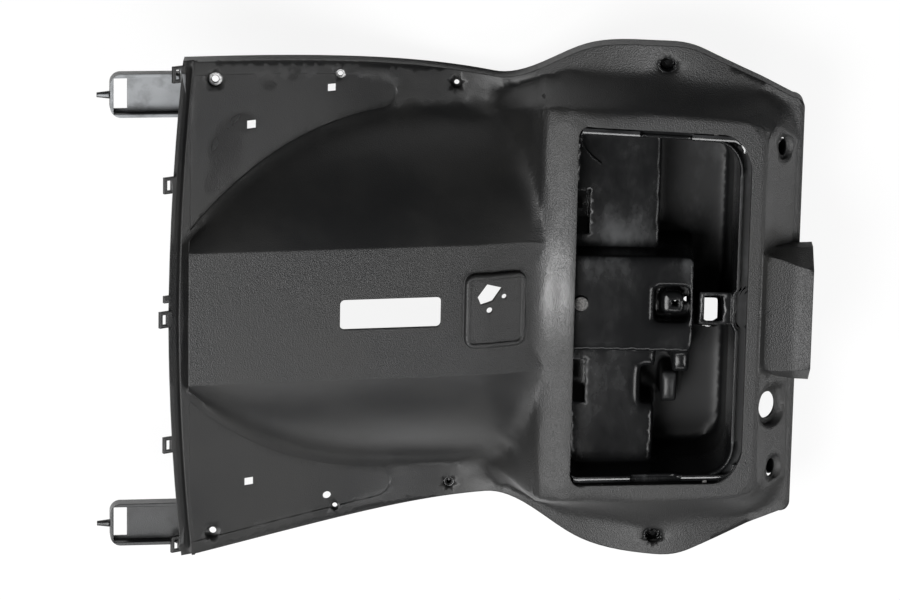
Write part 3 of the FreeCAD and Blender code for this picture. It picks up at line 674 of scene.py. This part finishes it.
def make_tub():
    shape = open_well(divided_copy("glove_box", TUB_FINE, TUB_COARSE, tub_ease))
    piece = eased(shape, "tub_moulding", shape_tub, tub_ease, TUB_ROUNDS, TUB_SHARP_ANGLE)
    paint(piece.data, tub_plastic())
    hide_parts("glove_box")


# Helpers for the added pieces, whose points are given in the row's frame


def new_piece(name, shape, material):
    mesh = bpy.data.meshes.new(name)
    bmesh.ops.recalc_face_normals(shape, faces=shape.faces)
    shape.to_mesh(mesh)
    shape.free()
    mesh.polygons.foreach_set("use_smooth", [True] * len(mesh.polygons))
    mesh.set_sharp_from_angle(angle=SHARP_ANGLE)
    mesh.materials.append(material)
    piece = bpy.data.objects.new(name, mesh)
    bpy.context.scene.collection.objects.link(piece)
    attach(piece, "root")


def turns(count):
    """Angles that go once round in equal steps."""
    return [2 * math.pi * i / count for i in range(count)]


def tube(shape, rings, closed):
    """Skin over rings of points, one ring after another; `closed` caps both ends."""
    loops = [[shape.verts.new(Vector(point) * MM) for point in ring] for ring in rings]
    count = len(loops[0])
    for first, second in zip(loops, loops[1:]):
        for i in range(count):
            shape.faces.new((first[i], first[(i + 1) % count], second[(i + 1) % count], second[i]))
    if closed:
        shape.faces.new(loops[0][::-1])
        shape.faces.new(loops[-1])


def box(shape, low, high):
    left, near, bottom = low
    right, far, top = high
    rings = []
    for z in (bottom, top):
        rings.append([(left, near, z), (right, near, z), (right, far, z), (left, far, z)])
    tube(shape, rings, True)


# Strips on the tub's rim, with a gap in each long side

RIM_TOP = 92
STRIP_NEAR = 1.6
STRIP_FAR = 7.2
STRIP_TILT = 0.34
STRIP_DROP = 4
STRIP_SHOULDER = 0.5
STRIP_START = 3
STRIP_STEPS = 30
NOTCH = (158, 199)
CORNER_ROUND = 16
CORNER_STEPS = 9


def rim_path(side):
    """Points of the opening's edge with the direction into it, along one long side and round its corner."""
    left, right = OPEN_X[0] + STRIP_START, OPEN_X[1] + END_GROWTH
    bend_x = right - CORNER_ROUND
    path = []
    for x in np.linspace(left, bend_x, STRIP_STEPS):
        path.append((x, side * float(open_half(x) + open_growth(x)), 0, -side))
    bend_y = path[-1][1] - side * CORNER_ROUND
    for angle in np.linspace(0, math.pi / 2, CORNER_STEPS)[1:]:
        out_x, out_y = math.sin(angle), side * math.cos(angle)
        path.append((bend_x + CORNER_ROUND * out_x, bend_y + CORNER_ROUND * out_y, -out_x, -out_y))
    return path


def strip_ring(x, y, in_x, in_y):
    """Section of a rim strip at one point of its path: upright sides and a low crown, tilted across Y."""
    middle = (STRIP_NEAR + STRIP_FAR) / 2
    section = (
        (STRIP_NEAR, STRIP_DROP),
        (STRIP_NEAR, STRIP_SHOULDER),
        (middle, 0),
        (STRIP_FAR, STRIP_SHOULDER),
        (STRIP_FAR, STRIP_DROP),
    )
    ring = []
    for reach, sink in section:
        lift = STRIP_TILT * in_y * (reach - middle)
        ring.append((x + in_x * reach - FRAME_SHIFT, y + in_y * reach, RIM_TOP + lift - sink))
    return ring


def make_rim_strips(material):
    for name, side in SIDES:
        path = rim_path(side)
        shape = bmesh.new()
        tube(shape, [strip_ring(*point) for point in path if point[0] < NOTCH[0]], True)
        tube(shape, [strip_ring(*point) for point in path if point[0] > NOTCH[1]], True)
        new_piece("rim_strip_" + name, shape, material)


# Blind sleeves behind the ear, head and lower waist holes

SLEEVE_SIDES = 28
SLEEVE_WALL = 1.4
SLEEVE_TAPER = 0.94
SLEEVE_FLOOR = 0.8
SLEEVE_STEP = 1
POST_SHARE = 0.38
POST_TAPER = 0.85
POST_FLAT = 0.4
POST_TOP = 0.7
SCREW_BORE = 6.7
EAR_HOLE = (175.5, 209, 72.2)
EAR_DEPTH = 12
HEAD_HOLE = (276.5, 140, 73)
HEAD_DEPTH = 11
HEAD_SINK = 3
HEAD_AXIS = (0.731, 0, 0.682)
WAIST_HOLE = (-2.5, -179, 20.7)
WAIST_BORE = 3.4
WAIST_DEPTH = 8


def sleeve(name, mouth, axis, inner, depth, material):
    """Blind round sleeve with a small post on its bottom; its mouth faces along `axis`."""
    turn = Vector(axis).to_track_quat("Z", "Y").to_matrix()
    post = inner * POST_SHARE
    profile = (
        (inner + SLEEVE_WALL, -depth - SLEEVE_WALL),
        (inner + SLEEVE_WALL, 0),
        (inner, 0),
        (inner * SLEEVE_TAPER, -depth + SLEEVE_STEP),
        (inner * SLEEVE_FLOOR, -depth),
        (post, -depth),
        (post * POST_TAPER, -depth * POST_TOP),
        (post * POST_FLAT, -depth * POST_TOP),
    )
    rings = []
    for radius, height in profile:
        ring = []
        for angle in turns(SLEEVE_SIDES):
            offset = turn @ Vector((radius * math.cos(angle), radius * math.sin(angle), height))
            ring.append(Vector(mouth) + offset)
        rings.append(ring)
    shape = bmesh.new()
    tube(shape, rings, True)
    new_piece(name, shape, material)


def make_sleeves(material):
    for name, side in SIDES:
        x, y, z = EAR_HOLE
        sleeve("ear_sleeve_" + name, (x, side * y, z), UP, SCREW_BORE, EAR_DEPTH, material)
        x, y, z = HEAD_HOLE
        lift = float(head_lift(x + FRAME_SHIFT))
        mouth = Vector((x, side * y, z + lift)) - Vector(HEAD_AXIS) * HEAD_SINK
        sleeve("head_sleeve_" + name, mouth, HEAD_AXIS, SCREW_BORE, HEAD_DEPTH, material)
    sleeve("waist_sleeve_lower", WAIST_HOLE, UP, WAIST_BORE, WAIST_DEPTH, material)


# Pockets behind the hinge windows

POCKET_X = (91.4, 113.6)
POCKET_Y = (55.8, 94.2)
POCKET_Z = (24, 52.4)
POCKET_WALL = 1.6
POCKET_LEFT_RISE = 11
RIB_HALF = 1.2
RIB_CLEAR = 6


def make_pockets(material):
    """Open boxes under the shelves, one behind each hinge window, with a rib across the middle."""
    left, right = POCKET_X
    low, high = POCKET_Z
    for name, side in SIDES:
        near, far = sorted(side * y for y in POCKET_Y)
        middle = (near + far) / 2
        shape = bmesh.new()
        box(shape, (left - POCKET_WALL, near, low), (left, far, high + POCKET_LEFT_RISE))
        box(shape, (right, near, low), (right + POCKET_WALL, far, high))
        box(shape, (left, near - POCKET_WALL, low), (right, near, high))
        box(shape, (left, far, low), (right, far + POCKET_WALL, high))
        box(shape, (left, near, low - POCKET_WALL), (right, far, low))
        box(shape, (left, middle - RIB_HALF, low), (right - RIB_CLEAR, middle + RIB_HALF, high - RIB_CLEAR))
        new_piece("hinge_pocket_" + name, shape, material)


# Worn rings round the two upper bores at the floor end: name, place and radius

BORES = (("floor", -204.5, 198, 4.6), ("wing", -101.5, 192, 3.6))
RING_PROBES = 12
RING_STEPS = 36
RING_SIDES = 10
RING_HALF_WIDTH = 1.2
RING_HALF_HEIGHT = 0.7
PROBE_FROM = 300


def seat_heights(surface, x, y, radius):
    """Heights of the seat at equal steps round a bore."""
    heights = []
    for angle in turns(RING_PROBES):
        start = Vector((x + radius * math.cos(angle), y + radius * math.sin(angle), PROBE_FROM)) * MM
        heights.append(surface.ray_cast(start, -UP)[0].z / MM)
    return heights


def make_rings(panel):
    """Rings laid on the seats of the bores, following their slope."""
    points = [vertex.co for vertex in panel.data.vertices]
    surface = BVHTree.FromPolygons(points, [face.vertices for face in panel.data.polygons])
    material = worn_metal()
    for name, x, y, radius in BORES:
        heights = seat_heights(surface, x, y, radius)
        rings = []
        for i in range(RING_STEPS + 1):
            angle = 2 * math.pi * i / RING_STEPS
            step, share = divmod(RING_PROBES * i / RING_STEPS, 1)
            first = heights[int(step) % RING_PROBES]
            second = heights[(int(step) + 1) % RING_PROBES]
            level = first + (second - first) * share
            ring = []
            for turn in turns(RING_SIDES):
                reach = radius + RING_HALF_WIDTH * math.cos(turn)
                height = level + RING_HALF_HEIGHT * math.sin(turn)
                ring.append((x + reach * math.cos(angle), y + reach * math.sin(angle), height))
            rings.append(ring)
        shape = bmesh.new()
        tube(shape, rings, False)
        bmesh.ops.remove_doubles(shape, verts=shape.verts, dist=JOIN_DISTANCE)
        new_piece("bore_ring_" + name, shape, material)


# Dark bar on the upper shelf

BAR_START = Vector((102, 141, 57))
BAR_BEND = Vector((108, 127, 56.6))
BAR_END = Vector((122, 118, 56.4))
BAR_RADIUS = 1.5
BAR_TAPER = 0.7
BAR_STEPS = 12
BAR_SIDES = 10


def make_corner_mark(material):
    """Thin dark bar that lies on the upper shelf at the corner of the opening, in one even bend."""
    rings = []
    for share in np.linspace(0, 1, BAR_STEPS):
        first = BAR_START.lerp(BAR_BEND, share)
        second = BAR_BEND.lerp(BAR_END, share)
        centre = first.lerp(second, share)
        side = (second - first).cross(UP).normalized()
        radius = BAR_RADIUS - BAR_TAPER * share
        ring = []
        for angle in turns(BAR_SIDES):
            ring.append(centre + side * radius * math.cos(angle) + UP * radius * math.sin(angle))
        rings.append(ring)
    shape = bmesh.new()
    tube(shape, rings, True)
    new_piece("corner_bar", shape, material)


# Studio: lamps as name, place, width, height and watts

FLOOR_HALF = 6
FLOOR_WHITE = (0.9, 0.9, 0.9, 1)
FLOOR_ROUGH = 0.9
FLOOR_GLOW = 0.9
LAMP_TARGET = (0, 0, 0.08)
LAMPS = (
    ("light_main", (-0.7, -0.5, 1.8), 1.2, 1.0, 48),
    ("light_front", (0.05, -1.7, 1.3), 1.7, 0.3, 11),
    ("light_right", (2.0, -0.3, 0.5), 1.0, 0.35, 13),
    ("light_over_right", (1.1, -0.6, 1.5), 0.5, 0.6, 8),
)
WORLD_WHITE = (1, 1, 1, 1)
WORLD_STRENGTH = 0.06


def floor_white():
    """White floor that glows towards the camera, with a little of its shading left."""
    material = bpy.data.materials.new("floor_white")
    material.use_nodes = True
    tree = material.node_tree
    surface = tree.nodes["Principled BSDF"]
    surface.inputs["Base Color"].default_value = FLOOR_WHITE
    surface.inputs["Roughness"].default_value = FLOOR_ROUGH
    glow = tree.nodes.new("ShaderNodeEmission")
    path = tree.nodes.new("ShaderNodeLightPath")
    mix = tree.nodes.new("ShaderNodeMixShader")
    share = tree.nodes.new("ShaderNodeMath")
    share.operation = "MULTIPLY"
    share.inputs[1].default_value = FLOOR_GLOW
    tree.links.new(path.outputs["Is Camera Ray"], share.inputs[0])
    tree.links.new(share.outputs[0], mix.inputs["Fac"])
    tree.links.new(surface.outputs[0], mix.inputs[1])
    tree.links.new(glow.outputs[0], mix.inputs[2])
    tree.links.new(mix.outputs[0], tree.nodes["Material Output"].inputs["Surface"])
    return material


def make_floor():
    mesh = bpy.data.meshes.new("floor")
    corners = [(x * FLOOR_HALF, y * FLOOR_HALF, 0) for x, y in ((-1, -1), (1, -1), (1, 1), (-1, 1))]
    mesh.from_pydata(corners, [], [(0, 1, 2, 3)])
    mesh.materials.append(floor_white())
    floor = bpy.data.objects.new("floor", mesh)
    bpy.context.scene.collection.objects.link(floor)


def softbox(name, place, width, height, watts):
    data = bpy.data.lights.new(name, "AREA")
    data.shape = "RECTANGLE"
    data.size = width
    data.size_y = height
    data.energy = watts
    lamp = bpy.data.objects.new(name, data)
    lamp.location = place
    lamp.rotation_euler = (Vector(LAMP_TARGET) - Vector(place)).to_track_quat("-Z", "Y").to_euler()
    lamp.visible_camera = False
    bpy.context.scene.collection.objects.link(lamp)


def make_lights():
    for lamp in LAMPS:
        softbox(*lamp)
    world = bpy.data.worlds.new("studio")
    world.use_nodes = True
    background = world.node_tree.nodes["Background"]
    background.inputs["Color"].default_value = WORLD_WHITE
    background.inputs["Strength"].default_value = WORLD_STRENGTH
    bpy.context.scene.world = world


make_camera()
panel = make_panel()
make_rings(panel)
make_tub()
gloss = rim_gloss()
make_rim_strips(gloss)
make_sleeves(gloss)
make_pockets(gloss)
make_corner_mark(gloss)
paint(nodes["glove_box_screws"].data, screw_steel())
paint(nodes["column_screw"].data, screw_steel())
make_floor()
make_lights()
bpy.context.scene.view_settings.view_transform = "Standard"
